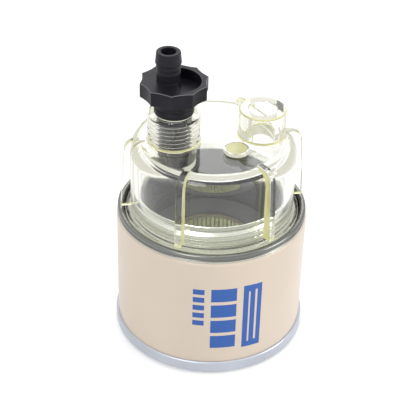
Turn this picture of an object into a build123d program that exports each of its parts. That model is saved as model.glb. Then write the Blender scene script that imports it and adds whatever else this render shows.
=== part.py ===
"""Spin-on fuel water separator with a clear bowl, standing on its mounting gasket, bowl up.

The origin is the centre of the mounting gasket's sealing face. +Z runs up the can's axis to
the bowl. The sensor port lies on +X of the axis and the drain valve on -X.
"""
import os
from math import cos, pi, radians, sin

from build123d import *

# Clearances and small edges
thread_clearance = 0.05
seal_clearance = 0.3
seat_clearance = 0.05
edge_break = 0.4
full_turn = 360.0
quarter_turn = 90.0

# Can and its seam at the mounting end
can_radius = 40.0
can_sheet = 0.8
can_shoulder_round = 1.25
seam_overhang = 1.0
seam_height = 5.3
seam_round = 0.8
lid_sheet = 0.75
gasket_stand = 1.2

# Mounting gasket
gasket_inset = 4.2
gasket_width = 5.4
gasket_height = 4.4

# Base plate with the head thread and the ring of ports
plate_thickness = 4.5
head_thread_radius = 11.8
spigot_wall = 3.2
spigot_height = 5.0
port_circle_radius = 22.0
port_hole_radius = 2.6
port_hole_count = 8

# Collar that takes the bowl
collar_sheet = 0.8
collar_crest_height = 60.9
collar_bead_drop = 3.5
collar_groove_depth = 4.9
bead_crest_round = 0.7
neck_engagement = 8.5
collar_reach = 1.5

# Bowl
bowl_step = 0.4
bowl_wall = 3.7
bowl_height = 31.8
bowl_top_thickness = 3.2
bowl_shoulder_radius = 6.5
bowl_inner_shoulder_radius = 4.5
flange_gap = 0.7
flange_thickness = 2.4
flange_round = 0.6
neck_wall = 5.4
bowl_gasket_thickness = 1.8
bowl_gasket_width = 2.1
bowl_gasket_gap = 0.9

# Ribs of the bowl
rib_count = 6
rib_thickness = 2.8
rib_foot_inset = 1.8
rib_taper = 1.4
rib_foot_gap = 1.3
rib_head_rise = 0.9
rib_head_inset = 8.6
rib_corner_radius = 4.6

# Drain boss and its bore
drain_offset = 16.4
drain_boss_wall = 3.35
drain_boss_height = 12.7
drain_thread_radius = 7.45
drain_thread_length = 17.0
drain_seat_step = 0.85
drain_tip_length = 8.9
drain_floor = 1.6
drain_inlet_radius = 3.2
inner_boss_wall = 2.6
boss_round = 0.6

# Sensor port
sensor_offset = 19.8
sensor_bore_radius = 5.75
sensor_boss_wall = 3.95
sensor_boss_height = 11.7

# Round pad on the bowl's top
pad_radius = 5.1
pad_height = 1.4
pad_offset = 14.4
pad_angle = -60.0

# Drain valve: knob, barb, neck and stem
knob_scallop_count = 10
knob_cusp_radius = 13.9
knob_scallop_depth = 2.0
knob_thickness = 6.3
knob_turn = 5.6
valve_neck_step = 0.7
valve_neck_height = 7.4
pocket_wall = 1.1
pocket_depth = 5.0
pocket_edge = 1.0
pocket_corner_radius = 2.4
barb_offset = 2.35
barb_height = 13.1
barb_root_radius = 4.6
barb_step_radius = 5.15
barb_second_radius = 4.95
barb_tip_radius = 4.75
barb_bore_radius = 3.0
stem_bore_radius = 2.6
barb_step_drop = 6.3
barb_second_drop = 10.3
barb_step_height = 0.45
vent_radius = 1.1
vent_side = 4.4
vent_front = 4.2
vent_depth = 9.0
tip_flow_gap = 0.6
tip_lift = 0.5
cross_hole_radius = 1.1
drain_seal_section = 1.5
face_seal_margin = 0.55
side_seal_drop = 1.4

# Element
pleat_count = 60
pleat_hole_gap = 0.6
pleat_sheet = 0.5
pleat_inner_half_width = 0.5
pleat_outer_half_width = 1.15
cap_hole_radius = 18.4
cap_gap = 2.4
cap_thickness = 1.6
cap_rim_height = 3.0
cap_lip = 0.8
potting_depth = 1.6
cap_seal_height = 2.2
cap_seal_overhang = 1.1
grommet_height = 3.4
sleeve_fit = 0.3
sleeve_gap = 0.2
sleeve_sheet = 0.6
sleeve_hole_radius = 2.4
sleeve_hole_rows = 3
sleeve_holes_in_row = 12

# Heights that follow from the sizes above
seam_bottom = gasket_stand
seam_top = seam_bottom + seam_height
web_bottom = gasket_height
web_top = web_bottom + lid_sheet
plate_top = web_top + plate_thickness
spigot_top = plate_top + spigot_height
collar_groove_floor = collar_crest_height - collar_groove_depth
flange_bottom = collar_groove_floor + bowl_gasket_thickness
flange_top = flange_bottom + flange_thickness
neck_bottom = collar_groove_floor - neck_engagement
collar_bottom = neck_bottom - collar_reach
bowl_cap_height = collar_bottom - cap_seal_height
bowl_top_height = collar_crest_height + bowl_height
bowl_ceiling = bowl_top_height - bowl_top_thickness
drain_boss_top = bowl_top_height + drain_boss_height
drain_thread_bottom = drain_boss_top - drain_thread_length
drain_boss_bottom = drain_thread_bottom - drain_tip_length
drain_seat_bottom = drain_boss_bottom + drain_floor
tip_bottom = drain_seat_bottom + tip_lift
face_seal_height = drain_seat_bottom + drain_seal_section / 2
side_seal_height = drain_thread_bottom - side_seal_drop
sensor_boss_top = bowl_top_height + sensor_boss_height
knob_bottom = drain_boss_top + valve_neck_height
knob_top = knob_bottom + knob_thickness
barb_top = knob_top + barb_height
rib_foot_height = collar_crest_height + rib_foot_gap
rib_head_height = bowl_top_height + rib_head_rise

# Radii that follow from the sizes above
can_inner_radius = can_radius - can_sheet
seam_radius = can_radius + seam_overhang
gasket_outer_radius = can_radius - gasket_inset
gasket_inner_radius = gasket_outer_radius - gasket_width
spigot_radius = head_thread_radius + spigot_wall
can_flange_outer_radius = can_radius - can_shoulder_round
can_flange_inner_radius = can_flange_outer_radius - can_sheet
bead_inner_radius = can_flange_inner_radius - seat_clearance - collar_sheet
bead_outer_radius = can_flange_outer_radius + seat_clearance + collar_sheet
bowl_gasket_outer_radius = bead_inner_radius - seal_clearance
bowl_gasket_inner_radius = bowl_gasket_outer_radius - bowl_gasket_width
flange_radius = bead_inner_radius - flange_gap
neck_radius = bowl_gasket_inner_radius - bowl_gasket_gap
neck_bore_radius = neck_radius - neck_wall
collar_bore_radius = neck_radius + thread_clearance
collar_tube_radius = collar_bore_radius + collar_sheet
bowl_radius = neck_radius + bowl_step
bowl_inner_radius = bowl_radius - bowl_wall
rib_foot_radius = can_radius - rib_foot_inset
rib_head_radius = rib_foot_radius - rib_taper
drain_boss_radius = drain_thread_radius + drain_boss_wall
drain_seat_radius = drain_thread_radius - drain_seat_step
sensor_boss_radius = sensor_bore_radius + sensor_boss_wall
stem_radius = drain_thread_radius - thread_clearance
tip_radius = drain_seat_radius - thread_clearance
valve_neck_radius = stem_radius + valve_neck_step
face_seal_radius = drain_inlet_radius + drain_seal_section / 2 + face_seal_margin
knob_scallop_radius = knob_cusp_radius - knob_scallop_depth
pocket_radius = knob_scallop_radius - pocket_wall
cap_radius = can_inner_radius - cap_gap
sleeve_outer_radius = cap_radius - cap_lip - sleeve_fit
sleeve_inner_radius = sleeve_outer_radius - sleeve_sheet
pleat_outer_radius = sleeve_inner_radius - sleeve_gap - pleat_sheet
pleat_inner_radius = cap_hole_radius + pleat_hole_gap

os.makedirs("parts", exist_ok=True)


def write(piece, name):
    """Label a finished piece with its node's name and write its STEP file."""
    piece.label = name
    export_step(piece, f"parts/{name}.step")


def heading(degrees):
    """Direction in the plan, turned from +X towards +Y."""
    return Vector(cos(radians(degrees)), sin(radians(degrees)), 0)


# Mounting gasket: square ring in the lid's channel, the face that the separator rests on
with BuildPart() as mounting_gasket:
    with BuildSketch(Plane.XY):
        Circle(gasket_outer_radius)
        Circle(gasket_inner_radius, mode=Mode.SUBTRACT)
    extrude(amount=gasket_height)
    chamfer(mounting_gasket.edges().group_by(Axis.Z)[0], edge_break)

write(mounting_gasket.part, "mounting_gasket")

# Seam lid: sheet ring that folds round the can's edge and holds the gasket in a channel
hook_inner_radius = can_radius + seat_clearance
fold_radius = can_inner_radius - seat_clearance - lid_sheet
channel_inner_radius = gasket_inner_radius - seal_clearance
keeper_radius = gasket_outer_radius + seal_clearance
keeper_drop = gasket_height / 2

with BuildPart() as seam_lid:
    with BuildSketch(Plane.XZ):
        with BuildLine():
            Polyline(
                (channel_inner_radius - lid_sheet, web_top),
                (channel_inner_radius - lid_sheet, web_bottom - keeper_drop),
                (channel_inner_radius, web_bottom - keeper_drop),
                (channel_inner_radius, web_bottom),
                (keeper_radius, web_bottom),
                (keeper_radius, web_bottom - keeper_drop),
                (keeper_radius + lid_sheet, web_bottom - keeper_drop),
                (keeper_radius + lid_sheet, web_bottom),
                (fold_radius, web_bottom),
                (fold_radius, seam_bottom),
                (seam_radius, seam_bottom),
                (seam_radius, seam_top),
                (hook_inner_radius, seam_top),
                (hook_inner_radius, seam_bottom + lid_sheet),
                (fold_radius + lid_sheet, seam_bottom + lid_sheet),
                (fold_radius + lid_sheet, web_top),
                close=True,
            )
        make_face()
    revolve(axis=Axis.Z)
    lid_edges = seam_lid.edges().filter_by(GeomType.CIRCLE)
    fillet(lid_edges.filter_by(lambda e: e.radius > seam_radius - edge_break), seam_round)

write(seam_lid.part, "seam_lid")

# Base plate: thick threaded plate with a ring of ports and the spigot that carries the element
with BuildPart() as base_plate:
    with BuildSketch(Plane.XY.offset(web_top)):
        Circle(fold_radius - seat_clearance)
    extrude(amount=plate_thickness)
    with BuildSketch(Plane.XY.offset(plate_top)):
        Circle(spigot_radius)
    extrude(amount=spigot_height)
    with BuildSketch(Plane.XY.offset(web_top)):
        Circle(head_thread_radius)
        with PolarLocations(port_circle_radius, port_hole_count):
            Circle(port_hole_radius)
    extrude(amount=plate_thickness + spigot_height, mode=Mode.SUBTRACT)
    chamfer(base_plate.edges().group_by(Axis.Z)[-1], edge_break)

write(base_plate.part, "base_plate")

# Can shell: drawn tube, drawn in at the bowl end to a flange that the collar's bead folds over
flange_reach = collar_crest_height - collar_sheet - seat_clearance
joggle_height = collar_crest_height - collar_bead_drop

can_foot = seam_bottom + lid_sheet + seat_clearance

with BuildPart() as can_shell:
    with BuildSketch(Plane.XZ):
        with BuildLine():
            Polyline(
                (can_inner_radius, joggle_height - can_sheet - can_shoulder_round),
                (can_inner_radius, can_foot),
                (can_radius, can_foot),
                (can_radius, joggle_height - can_shoulder_round),
            )
            JernArc(
                start=(can_radius, joggle_height - can_shoulder_round),
                tangent=(0, 1),
                radius=can_shoulder_round,
                arc_size=quarter_turn,
            )
            Polyline(
                (can_flange_outer_radius, joggle_height),
                (can_flange_outer_radius, flange_reach),
                (can_flange_inner_radius, flange_reach),
                (can_flange_inner_radius, joggle_height - can_sheet),
            )
            JernArc(
                start=(can_inner_radius, joggle_height - can_sheet - can_shoulder_round),
                tangent=(0, 1),
                radius=can_shoulder_round,
                arc_size=quarter_turn,
            )
        make_face()
    revolve(axis=Axis.Z)

write(can_shell.part, "can_shell")

# Bowl collar: sheet ring with a rolled bead outside, a gasket groove and a threaded tube inside
with BuildPart() as bowl_collar:
    with BuildSketch(Plane.XZ):
        with BuildLine():
            Polyline(
                (collar_bore_radius, collar_bottom),
                (collar_tube_radius, collar_bottom),
                (collar_tube_radius, collar_groove_floor - collar_sheet),
                (bead_inner_radius + collar_sheet, collar_groove_floor - collar_sheet),
                (bead_inner_radius + collar_sheet, collar_crest_height - collar_sheet),
                (bead_outer_radius - collar_sheet, collar_crest_height - collar_sheet),
                (bead_outer_radius - collar_sheet, joggle_height + edge_break),
                (bead_outer_radius, joggle_height + edge_break),
                (bead_outer_radius, collar_crest_height),
                (bead_inner_radius, collar_crest_height),
                (bead_inner_radius, collar_groove_floor),
                (collar_bore_radius, collar_groove_floor),
                close=True,
            )
        make_face()
    revolve(axis=Axis.Z)
    fillet(bowl_collar.edges().group_by(Axis.Z)[-1], bead_crest_round)

write(bowl_collar.part, "bowl_collar")

# Bowl gasket: flat ring in the collar's groove, under the bowl's flange
with BuildPart() as bowl_gasket:
    with BuildSketch(Plane.XY.offset(collar_groove_floor)):
        Circle(bowl_gasket_outer_radius)
        Circle(bowl_gasket_inner_radius, mode=Mode.SUBTRACT)
    extrude(amount=bowl_gasket_thickness)

write(bowl_gasket.part, "bowl_gasket")

# One rib of the bowl, which overhangs the collar's bead and rounds over the bowl's shoulder
with BuildPart() as rib:
    with BuildSketch(Plane.XZ):
        with BuildLine():
            Polyline(
                (bowl_radius - bowl_wall / 2, rib_foot_height),
                (rib_foot_radius, rib_foot_height),
                (rib_head_radius, rib_head_height),
                (rib_head_radius - rib_head_inset, rib_head_height),
                (rib_head_radius - rib_head_inset, bowl_top_height - bowl_top_thickness / 2),
                (bowl_radius - bowl_wall / 2, bowl_top_height - bowl_shoulder_radius),
                close=True,
            )
        make_face()
    extrude(amount=rib_thickness / 2, both=True)
    head_corner = rib.edges().filter_by(Axis.Y).group_by(Axis.Z)[-1].sort_by(Axis.X)[-1]
    fillet(head_corner, rib_corner_radius)

# Bowl: one clear moulding with a threaded neck, a flange, ribs, two bosses and a round pad
with BuildPart() as bowl:
    with BuildSketch(Plane.XZ):
        with BuildLine():
            Polyline(
                (0, neck_bottom),
                (neck_radius, neck_bottom),
                (neck_radius, flange_bottom),
                (flange_radius, flange_bottom),
                (flange_radius, flange_top),
                (bowl_radius, flange_top),
                (bowl_radius, bowl_top_height),
                (0, bowl_top_height),
                close=True,
            )
        make_face()
    revolve(axis=Axis.Z)
    rim_edges = bowl.edges().filter_by(GeomType.CIRCLE)
    fillet(rim_edges.group_by(Axis.Z)[-1], bowl_shoulder_radius)
    flange_edge = bowl.edges().filter_by(
        lambda e: e.geom_type == GeomType.CIRCLE
        and abs(e.radius - flange_radius) < edge_break
        and e.center().Z > flange_top - edge_break
    )
    fillet(flange_edge, flange_round)
    with PolarLocations(0, rib_count):
        add(rib.part)
    with BuildSketch(Plane.XY.offset(bowl_ceiling)):
        with Locations((-drain_offset, 0)):
            Circle(drain_boss_radius)
    extrude(amount=drain_boss_top - bowl_ceiling)
    with BuildSketch(Plane.XY.offset(bowl_ceiling)):
        with Locations((sensor_offset, 0)):
            Circle(sensor_boss_radius)
    extrude(amount=sensor_boss_top - bowl_ceiling)
    boss_rims = bowl.edges().filter_by(
        lambda e: e.geom_type == GeomType.CIRCLE and e.center().Z > sensor_boss_top - edge_break
    )
    fillet(boss_rims, boss_round)
    with BuildSketch(Plane.XY.offset(bowl_ceiling)):
        with Locations(pad_offset * heading(pad_angle)):
            Circle(pad_radius)
    extrude(amount=bowl_top_thickness + pad_height)
    with BuildSketch(Plane.XZ) as hollow:
        with BuildLine():
            Polyline(
                (0, neck_bottom),
                (neck_bore_radius, neck_bottom),
                (neck_bore_radius, flange_bottom),
                (bowl_inner_radius, flange_top),
                (bowl_inner_radius, bowl_ceiling),
                (0, bowl_ceiling),
                close=True,
            )
        make_face()
        ceiling_corner = hollow.vertices().group_by(Axis.Y)[-1].sort_by(Axis.X)[-1]
        fillet(ceiling_corner, bowl_inner_shoulder_radius)
    revolve(axis=Axis.Z, mode=Mode.SUBTRACT)
    with BuildSketch(Plane.XY.offset(drain_boss_bottom)):
        with Locations((-drain_offset, 0)):
            Circle(drain_seat_radius + inner_boss_wall)
    extrude(amount=bowl_ceiling - drain_boss_bottom + bowl_top_thickness / 2)
    with BuildSketch(Plane.XY.offset(drain_boss_bottom)):
        with Locations((-drain_offset, 0)):
            Circle(drain_inlet_radius)
    extrude(amount=drain_floor, mode=Mode.SUBTRACT)
    with BuildSketch(Plane.XY.offset(drain_seat_bottom)):
        with Locations((-drain_offset, 0)):
            Circle(drain_seat_radius)
    extrude(amount=drain_boss_top - drain_seat_bottom, mode=Mode.SUBTRACT)
    with BuildSketch(Plane.XY.offset(drain_thread_bottom)):
        with Locations((-drain_offset, 0)):
            Circle(drain_thread_radius)
    extrude(amount=drain_thread_length, mode=Mode.SUBTRACT)
    with BuildSketch(Plane.XY.offset(bowl_ceiling)):
        with Locations((sensor_offset, 0)):
            Circle(sensor_bore_radius)
    extrude(amount=sensor_boss_top - bowl_ceiling, mode=Mode.SUBTRACT)

write(bowl.part, "bowl")

# Drain valve: one moulding, with a barb off the knob's centre and a pocket beside it. Screwed
# down, its tip closes the boss's inlet; unscrewed, water runs round the tip to the cross hole
cusp_step = full_turn / knob_scallop_count
pocket_floor = knob_top - pocket_depth
barb_axis = drain_offset + barb_offset
groove_height = drain_seal_section + seat_clearance
side_groove_radius = tip_radius - drain_seal_section
side_groove_bottom = side_seal_height - groove_height / 2
passage_bottom = face_seal_height + groove_height
cross_hole_height = passage_bottom + cross_hole_radius
tip_step = side_groove_bottom - edge_break

with BuildPart() as drain_valve:
    with BuildSketch(Plane.XY.offset(tip_bottom)):
        with Locations((-drain_offset, 0)):
            Circle(tip_radius - tip_flow_gap)
            Circle(face_seal_radius + groove_height / 2, mode=Mode.SUBTRACT)
            Circle(face_seal_radius - groove_height / 2)
    extrude(amount=face_seal_height + groove_height / 2 - tip_bottom)
    with BuildSketch(Plane.XY.offset(face_seal_height + groove_height / 2)):
        with Locations((-drain_offset, 0)):
            Circle(tip_radius - tip_flow_gap)
    extrude(amount=tip_step - face_seal_height - groove_height / 2)
    with BuildSketch(Plane.XY.offset(tip_step)):
        with Locations((-drain_offset, 0)):
            Circle(tip_radius)
    extrude(amount=drain_thread_bottom + seat_clearance - tip_step)
    with BuildSketch(Plane.XY.offset(side_groove_bottom)):
        with Locations((-drain_offset, 0)):
            Circle(drain_seat_radius)
            Circle(side_groove_radius, mode=Mode.SUBTRACT)
    extrude(amount=groove_height, mode=Mode.SUBTRACT)
    with BuildSketch(Plane.XY.offset(drain_thread_bottom + seat_clearance)):
        with Locations((-drain_offset, 0)):
            Circle(stem_radius)
    extrude(amount=drain_boss_top - drain_thread_bottom - seat_clearance)
    with BuildSketch(Plane.XY.offset(drain_boss_top)):
        with Locations((-drain_offset, 0)):
            Circle(valve_neck_radius)
    extrude(amount=valve_neck_height)
    with BuildSketch(Plane(origin=(-drain_offset, 0, knob_bottom))):
        with BuildLine():
            for cusp in range(knob_scallop_count):
                start = knob_turn + cusp * cusp_step
                ThreePointArc(
                    knob_cusp_radius * heading(start),
                    knob_scallop_radius * heading(start + cusp_step / 2),
                    knob_cusp_radius * heading(start + cusp_step),
                )
        make_face()
    extrude(amount=knob_thickness)
    chamfer(drain_valve.edges().group_by(Axis.Z)[-1], edge_break)
    with BuildSketch(Plane(origin=(-drain_offset, 0, pocket_floor))) as pocket:
        with BuildLine():
            flat_end = (pocket_radius**2 - pocket_edge**2) ** 0.5
            Line((pocket_edge, flat_end), (pocket_edge, -flat_end))
            ThreePointArc((pocket_edge, -flat_end), (pocket_radius, 0), (pocket_edge, flat_end))
        make_face()
        fillet(pocket.vertices(), pocket_corner_radius)
        with Locations((-barb_offset, 0)):
            Circle(barb_tip_radius, mode=Mode.SUBTRACT)
    extrude(amount=pocket_depth, mode=Mode.SUBTRACT)
    with BuildSketch(Plane.XZ):
        with BuildLine():
            Polyline(
                (-barb_axis, pocket_floor),
                (-barb_axis + barb_tip_radius, pocket_floor),
                (-barb_axis + barb_tip_radius, knob_top),
                (-barb_axis + barb_root_radius, knob_top + edge_break),
                (-barb_axis + barb_root_radius, barb_top - barb_second_drop - barb_step_height),
                (-barb_axis + barb_second_radius, barb_top - barb_second_drop),
                (-barb_axis + barb_root_radius, barb_top - barb_step_drop - barb_step_height),
                (-barb_axis + barb_step_radius, barb_top - barb_step_drop),
                (-barb_axis + barb_tip_radius, barb_top - edge_break),
                (-barb_axis + barb_tip_radius - edge_break, barb_top),
                (-barb_axis, barb_top),
                close=True,
            )
        make_face()
    revolve(axis=Axis((-barb_axis, 0, 0), (0, 0, 1)))
    with BuildSketch(Plane.XY.offset(drain_boss_top)):
        with Locations((-barb_axis, 0)):
            Circle(barb_bore_radius)
    extrude(amount=barb_top - drain_boss_top, mode=Mode.SUBTRACT)
    with BuildSketch(Plane.XY.offset(passage_bottom)):
        with Locations((-drain_offset, 0)):
            Circle(stem_bore_radius)
    extrude(amount=drain_boss_top - passage_bottom, mode=Mode.SUBTRACT)
    with BuildSketch(Plane.XZ):
        with Locations((-drain_offset, cross_hole_height)):
            Circle(cross_hole_radius)
    extrude(amount=drain_seat_radius, both=True, mode=Mode.SUBTRACT)
    with BuildSketch(Plane.XY.offset(pocket_floor - vent_depth)):
        with Locations((vent_side - drain_offset, -vent_front)):
            Circle(vent_radius)
    extrude(amount=vent_depth + pocket_depth, mode=Mode.SUBTRACT)

write(drain_valve.part, "drain_valve")

# Drain seals: O-rings in the end face of the stem's tip and in the groove above the cross hole
seal_section_radius = drain_seal_section / 2 - seat_clearance
side_seal_radius = side_groove_radius + drain_seal_section / 2
drain_seal_places = {
    "drain_face_seal": (face_seal_radius, face_seal_height),
    "drain_side_seal": (side_seal_radius, side_seal_height),
}

for seal_name, (ring_radius, seal_height) in drain_seal_places.items():
    with BuildPart() as drain_seal:
        with BuildSketch(Plane.XZ):
            with Locations((ring_radius - drain_offset, seal_height)):
                Circle(seal_section_radius)
        revolve(axis=Axis((-drain_offset, 0, 0), (0, 0, 1)))
    write(drain_seal.part, seal_name)

# Mount-side end cap: dished ring on the spigot, its rim round the element's lower end
mount_cap_bottom = spigot_top - grommet_height
mount_cap_top = mount_cap_bottom + cap_thickness
grommet_outer_radius = cap_hole_radius - seat_clearance

with BuildPart() as mount_end_cap:
    with BuildSketch(Plane.XZ):
        with BuildLine():
            Polyline(
                (cap_hole_radius, mount_cap_bottom),
                (cap_radius, mount_cap_bottom),
                (cap_radius, mount_cap_bottom + cap_rim_height),
                (cap_radius - cap_lip, mount_cap_bottom + cap_rim_height),
                (cap_radius - cap_lip, mount_cap_top),
                (cap_hole_radius, mount_cap_top),
                close=True,
            )
        make_face()
    revolve(axis=Axis.Z)

write(mount_end_cap.part, "mount_end_cap")

# Bowl-side end cap: the dark ring seen through the bowl, with the large hole into the pleats
bowl_cap_bottom = bowl_cap_height - cap_thickness

with BuildPart() as bowl_end_cap:
    with BuildSketch(Plane.XZ):
        with BuildLine():
            Polyline(
                (cap_hole_radius, bowl_cap_height),
                (cap_radius, bowl_cap_height),
                (cap_radius, bowl_cap_height - cap_rim_height),
                (cap_radius - cap_lip, bowl_cap_height - cap_rim_height),
                (cap_radius - cap_lip, bowl_cap_bottom),
                (cap_hole_radius, bowl_cap_bottom),
                close=True,
            )
        make_face()
    revolve(axis=Axis.Z)
    chamfer(bowl_end_cap.edges().filter_by(GeomType.CIRCLE).sort_by(SortBy.RADIUS)[0:1], edge_break)

write(bowl_end_cap.part, "bowl_end_cap")

# Potting: resin ring in each cap that the pleats stand in
potting_outer_radius = cap_radius - cap_lip
pleat_bottom = mount_cap_top + potting_depth
pleat_top = bowl_cap_bottom - potting_depth

with BuildPart() as mount_potting:
    with BuildSketch(Plane.XY.offset(mount_cap_top)):
        Circle(potting_outer_radius)
        Circle(cap_hole_radius, mode=Mode.SUBTRACT)
    extrude(amount=potting_depth)

write(mount_potting.part, "mount_potting")

with BuildPart() as bowl_potting:
    with BuildSketch(Plane.XY.offset(pleat_top)):
        Circle(potting_outer_radius)
        Circle(cap_hole_radius, mode=Mode.SUBTRACT)
    extrude(amount=potting_depth)

write(bowl_potting.part, "bowl_potting")

# Pleated medium: one sheet folded back and forth into a star
def fold_points(half_sheet):
    """Outline of the folded sheet, moved out by half its thickness or in by a negative one."""
    points = []
    inner_half = (pleat_inner_half_width - half_sheet) / pleat_inner_radius
    outer_half = (pleat_outer_half_width + half_sheet) / pleat_outer_radius
    for pleat in range(pleat_count):
        inner_angle = 2 * pi * pleat / pleat_count
        outer_angle = inner_angle + pi / pleat_count
        for angle, half, radius in (
            (inner_angle, inner_half, pleat_inner_radius),
            (outer_angle, outer_half, pleat_outer_radius),
        ):
            for side in (-half, half):
                reach = radius + half_sheet
                points.append((reach * cos(angle + side), reach * sin(angle + side)))
    return points


with BuildPart() as pleated_media:
    with BuildSketch(Plane.XY.offset(pleat_bottom)):
        with BuildLine():
            Polyline(*fold_points(pleat_sheet / 2), close=True)
        make_face()
        with BuildLine():
            Polyline(*fold_points(-pleat_sheet / 2), close=True)
        make_face(mode=Mode.SUBTRACT)
    extrude(amount=pleat_top - pleat_bottom)

write(pleated_media.part, "pleated_media")

# Outer sleeve: perforated tube that holds the pleats in
sleeve_row_pitch = (pleat_top - pleat_bottom) / sleeve_hole_rows
sleeve_hole_step = full_turn / sleeve_holes_in_row

with BuildPart() as outer_sleeve:
    with BuildSketch(Plane.XY.offset(pleat_bottom)):
        Circle(sleeve_outer_radius)
        Circle(sleeve_inner_radius, mode=Mode.SUBTRACT)
    extrude(amount=pleat_top - pleat_bottom)
    for row in range(sleeve_hole_rows):
        for hole in range(sleeve_holes_in_row):
            hole_plane = Plane(
                origin=(0, 0, pleat_bottom + (row + 0.5) * sleeve_row_pitch),
                x_dir=(0, 0, 1),
                z_dir=heading(hole * sleeve_hole_step),
            )
            with BuildSketch(hole_plane):
                Circle(sleeve_hole_radius)
            extrude(amount=sleeve_outer_radius + sleeve_gap, mode=Mode.SUBTRACT)

write(outer_sleeve.part, "outer_sleeve")

# Element grommet: rubber ring that seals the mount-side cap on the spigot
with BuildPart() as element_grommet:
    with BuildSketch(Plane.XY.offset(mount_cap_bottom)):
        Circle(grommet_outer_radius)
        Circle(spigot_radius + seat_clearance, mode=Mode.SUBTRACT)
    extrude(amount=grommet_height)

write(element_grommet.part, "element_grommet")

# Cap seal: rubber ring between the bowl-side cap and the collar's tube
with BuildPart() as cap_seal:
    with BuildSketch(Plane.XY.offset(bowl_cap_height)):
        Circle(collar_tube_radius + cap_seal_overhang)
        Circle(collar_bore_radius - edge_break, mode=Mode.SUBTRACT)
    extrude(amount=cap_seal_height)

write(cap_seal.part, "cap_seal")
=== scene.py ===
"""Looks of the spin-on fuel water separator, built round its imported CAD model.

Sizes are in millimetres in the profiles below and in metres in every mesh. The collar with its neck
seal, the clear bowl and the drain valve are made again here, with threads and rounded edges. The
other pieces keep their CAD solids and get their finishes.
"""
from math import atan2, cos, degrees, hypot, pi, radians, sin

import bmesh
import bpy
from mathutils import Matrix, Vector


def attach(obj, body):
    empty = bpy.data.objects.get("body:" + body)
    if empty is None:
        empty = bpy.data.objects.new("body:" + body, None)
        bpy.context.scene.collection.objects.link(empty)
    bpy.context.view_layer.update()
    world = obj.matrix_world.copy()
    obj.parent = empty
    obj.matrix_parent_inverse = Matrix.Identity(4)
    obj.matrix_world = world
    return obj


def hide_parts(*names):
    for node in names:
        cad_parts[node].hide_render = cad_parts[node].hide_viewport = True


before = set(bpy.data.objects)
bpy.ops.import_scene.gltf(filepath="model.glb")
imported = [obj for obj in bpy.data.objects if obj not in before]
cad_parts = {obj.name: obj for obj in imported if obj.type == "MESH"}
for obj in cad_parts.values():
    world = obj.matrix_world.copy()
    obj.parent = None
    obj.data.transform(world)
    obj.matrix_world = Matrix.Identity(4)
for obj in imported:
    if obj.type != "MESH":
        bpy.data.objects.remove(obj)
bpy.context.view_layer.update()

bl_info = {
    "name": "Fuel water separator looks",
    "version": (1, 0, 0),
    "blender": (4, 5, 0),
    "location": "View3D > Sidebar > Separator",
    "description": "Dresses the packed fuel water separator and lights it for a product picture",
    "category": "Object",
}

MM = 0.001
CAN_RADIUS = 40.0 * MM

# How far the marks of rolling drift sideways in one radian
MARK_DRIFT = 0.8 * MM

# How far the print's edge strays, and half the width over which it fades
PRINT_RAGGEDNESS = 0.12 * MM
PRINT_SOFTNESS = 0.08 * MM

# Clear plastic: refraction, tint, and a painted pale glow, an emission on rays that stay long
# inside it, which stands in for light caught there
CLEAR_IOR = 1.5
TINT_DENSITY = 45.0
GLOW_COLOUR = (0.91, 0.90, 0.82, 1.0)
GLOW_STRENGTH = 0.84
GLOW_MIRRORINGS = 1.5
GLOW_SURFACES = 6.5
SHADOW_TINT = (0.93, 0.94, 0.88, 1.0)

# Collar: factors on the plating's colour at the bead's foot, a lighter band that is a painted
# highlight, and from the groove inwards; and the tones of painted shade between groove and bead and
# on the neck's inner wall
BEAD_FOOT_HIGHLIGHT = 3.0
GROOVE_SHADE = 3.8
GAP_SHADE_BLACK = (0.02, 0.02, 0.018)
NECK_SHADE_GREY = (0.046, 0.052, 0.058)

# Painted highlight along the knob's top edges
EDGE_HIGHLIGHT_GREY = (0.17, 0.17, 0.19)


# Properties

class SeparatorSizes(bpy.types.PropertyGroup):
    """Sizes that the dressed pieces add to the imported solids."""
    neck_pitch: bpy.props.FloatProperty(
        name="Neck thread pitch", description="Rise of the collar's neck thread in one turn",
        default=2.5 * MM, min=1.0 * MM, unit="LENGTH")
    neck_depth: bpy.props.FloatProperty(
        name="Neck thread depth",
        description="Depth of the thread between the collar's neck and the bowl",
        default=1.0 * MM, min=0.2 * MM, unit="LENGTH")
    drain_pitch: bpy.props.FloatProperty(
        name="Drain thread pitch", description="Rise of the drain valve's thread in one turn",
        default=1.8 * MM, min=0.8 * MM, unit="LENGTH")
    drain_depth: bpy.props.FloatProperty(
        name="Drain thread depth", description="Depth of the drain valve's thread",
        default=0.85 * MM, min=0.2 * MM, unit="LENGTH")
    thread_gap: bpy.props.FloatProperty(
        name="Thread gap", description="Gap between a screw thread and the thread that it runs in",
        default=0.06 * MM, min=0.0, unit="LENGTH")
    rib_count: bpy.props.IntProperty(
        name="Ribs", description="Number of ribs round the bowl", default=6, min=2, max=24)
    facets: bpy.props.IntProperty(
        name="Facets", description="Facets round the bowl", default=240, min=48, max=480)


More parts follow.
